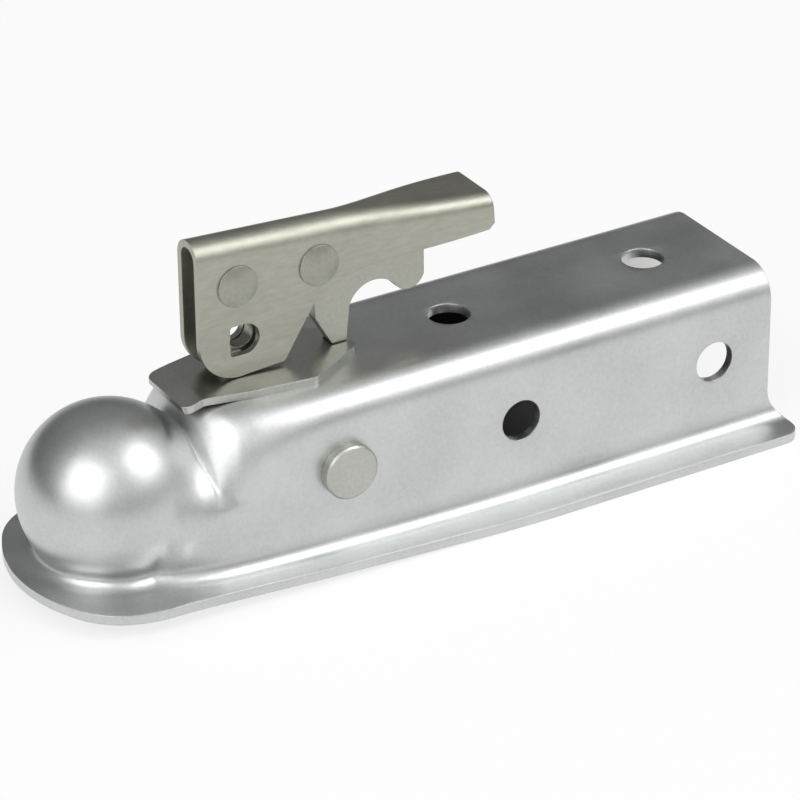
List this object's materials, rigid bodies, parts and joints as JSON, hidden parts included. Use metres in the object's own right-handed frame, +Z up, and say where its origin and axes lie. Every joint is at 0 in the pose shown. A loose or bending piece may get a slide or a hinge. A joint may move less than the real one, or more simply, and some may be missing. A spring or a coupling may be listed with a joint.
{
  "type": "trailer coupling",
  "caption": "Pressed-steel straight-tongue trailer coupling with ball socket, folded latch lever, finger trigger and an under-ball clamp.",
  "frame": {"origin": "centre of the ball socket", "axes": "+X runs back along the tongue, +Z is up, -Y is the side towards the camera"},
  "size_m": [0.249, 0.082, 0.1011],
  "materials": {
    "plated_body": "satin zinc plating on pressed sheet steel, cool grey",
    "plated_plate": "satin zinc plating with sheared edges",
    "plated_lever": "satin zinc plating, slightly warmer grey, faint grain",
    "rivet_steel": "satin zinc plating, pressed smooth",
    "spacer_steel": "turned and plated steel",
    "stem_steel": "plated steel, slightly dull",
    "trigger_steel": "stamped and plated steel with sheared edges",
    "spring_steel": "plain spring wire",
    "pin_steel": "upset flat head, satin zinc plating",
    "clamp_iron": "plated casting, dull grey"
  },
  "bodies": {
    "coupler": {"coupler_body": "plated_body", "saddle_plate": "plated_plate", "clamp_pin": "pin_steel", "pin_sleeves": "spacer_steel", "clamp_spring": "spring_steel"},
    "stem": {"draw_stem": "stem_steel", "stem_washer": "spacer_steel", "adjusting_nut": "stem_steel"},
    "lever": {"latch_lever": "plated_lever", "pivot_rivet": "rivet_steel", "pivot_spacers": "spacer_steel", "trigger_rivet": "rivet_steel", "trigger_spring": "spring_steel", "trigger_spacers": "spacer_steel"},
    "trigger": {"trigger": "trigger_steel"},
    "clamp": {"ball_clamp": "clamp_iron", "spring_seat": "spacer_steel"}
  },
  "joints": [
    {"name": "stem_slide", "type": "slide", "parent": "coupler", "child": "stem", "axis": [0, 0, -1], "range_m": [0, 0.00342]},
    {"name": "lever_hinge", "type": "hinge", "parent": "stem", "child": "lever", "pos_m": [0.0408, 0, 0.0579], "axis": [0, -1, 0], "range_deg": [0, 85]},
    {"name": "clamp_hinge", "type": "hinge", "parent": "coupler", "child": "clamp", "pos_m": [0.063, 0, 0.0023], "axis": [0, -1, 0], "range_deg": [0, 8], "deforming": ["clamp_spring"]},
    {"name": "trigger_hinge", "type": "hinge", "parent": "lever", "child": "trigger", "pos_m": [0.0676, 0, 0.0576], "axis": [0, -1, 0], "range_deg": [0, 11], "stiffness_Nm_per_rad": 0.05, "springref_deg": -17.19, "deforming": ["trigger_spring"]}
  ],
  "couplings": [
    {"joint": "stem_slide", "follows": "lever_hinge", "m_per_rad": 0.0023},
    {"joint": "clamp_hinge", "follows": "lever_hinge", "ratio": 0.092}
  ]
}
